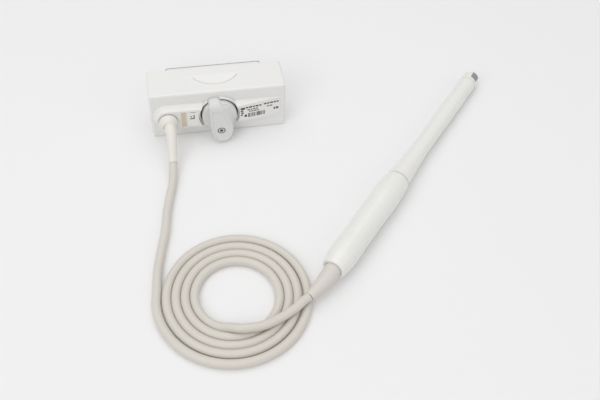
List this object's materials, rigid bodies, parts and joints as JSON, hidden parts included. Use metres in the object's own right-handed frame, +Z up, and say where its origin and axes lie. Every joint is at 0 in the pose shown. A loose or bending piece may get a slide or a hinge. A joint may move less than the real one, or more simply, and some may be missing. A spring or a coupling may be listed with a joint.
{
  "type": "ultrasound transducer",
  "caption": "End-fire endocavity ultrasound probe, its cable wound in a flat coil, and a box-shaped system connector with a quarter-turn locking lever.",
  "frame": {"origin": "on the table, under the middle of the connector and probe together", "axes": "+X along the connector's width and the longer side of the layout, +Y from the lever towards the plug, +Z up from the table"},
  "size_m": [0.3975, 0.3532, 0.058],
  "materials": {
    "housing": "fine moulded texture, satin, off-white ABS",
    "front_trim": "fine moulded texture, satin, off-white ABS",
    "label": "smooth printed polyester film",
    "lever_grey": "satin pale grey glass-filled nylon",
    "lever_black": "matt black nylon",
    "steel": "turned and ground",
    "plated_metal": "tin-plated sheet, satin",
    "brass": "turned",
    "gold": "gold flash on contacts",
    "insulator": "moulded black thermoplastic",
    "board": "green solder mask",
    "black_rubber": "matt",
    "relief_cream": "smooth soft-touch, cream",
    "relief_pink": "smooth soft-touch, pinkish beige",
    "cable_jacket": "fine matt extruded jacket, beige grey",
    "probe_shell": "fine satin, cream white",
    "lens": "smooth silicone, mid grey",
    "ceramic": "sintered ceramic",
    "backing": "loaded epoxy",
    "flex": "amber polyimide film"
  },
  "bodies": {
    "root": {"upper_shell": "housing", "lower_shell": "housing", "case_screw_1": "steel", "case_screw_2": "steel", "case_screw_3": "steel", "case_screw_4": "steel", "cable_boss": "front_trim", "label_ramp": "front_trim", "rating_label": "label", "type_label": "label", "plug_shroud": "front_trim", "grounding_strip": "steel", "shroud_gasket": "black_rubber", "shaft_sleeve": "brass", "contact_block_left": "insulator", "contact_pads_left": "gold", "matching_board_left": "board", "contact_block_right": "insulator", "contact_pads_right": "gold", "matching_board_right": "board", "shield_can": "plated_metal", "cable_gland": "relief_cream", "gland_nut": "brass", "connector_relief": "relief_cream", "wire_loom": "black_rubber", "shaft_bushing": "brass", "handle_upper_shell": "probe_shell", "handle_lower_shell": "probe_shell", "neck_gasket": "relief_pink", "cable_crimp": "brass", "handle_board": "board", "neck_shell": "probe_shell", "tip_shell": "probe_shell", "acoustic_lens": "lens", "transducer_array": "ceramic", "backing_block": "backing", "array_carrier": "steel", "flex_circuit_upper": "flex", "flex_circuit_lower": "flex", "coax_bundle": "black_rubber", "probe_relief": "relief_pink", "cable_lead": "cable_jacket", "cable_coil": "cable_jacket", "cable_tail": "cable_jacket"},
    "lever": {"lever": "lever_grey", "lever_rim": "lever_grey", "lever_seal": "lever_black", "lever_shaft": "steel", "shaft_clip": "steel", "locking_bar": "steel"}
  },
  "joints": [
    {"name": "lever_turn", "type": "hinge", "parent": "root", "child": "lever", "pos_m": [-0.1193, 0.092, 0.0295], "axis": [0, 1, 0], "range_deg": [0, 90]}
  ]
}
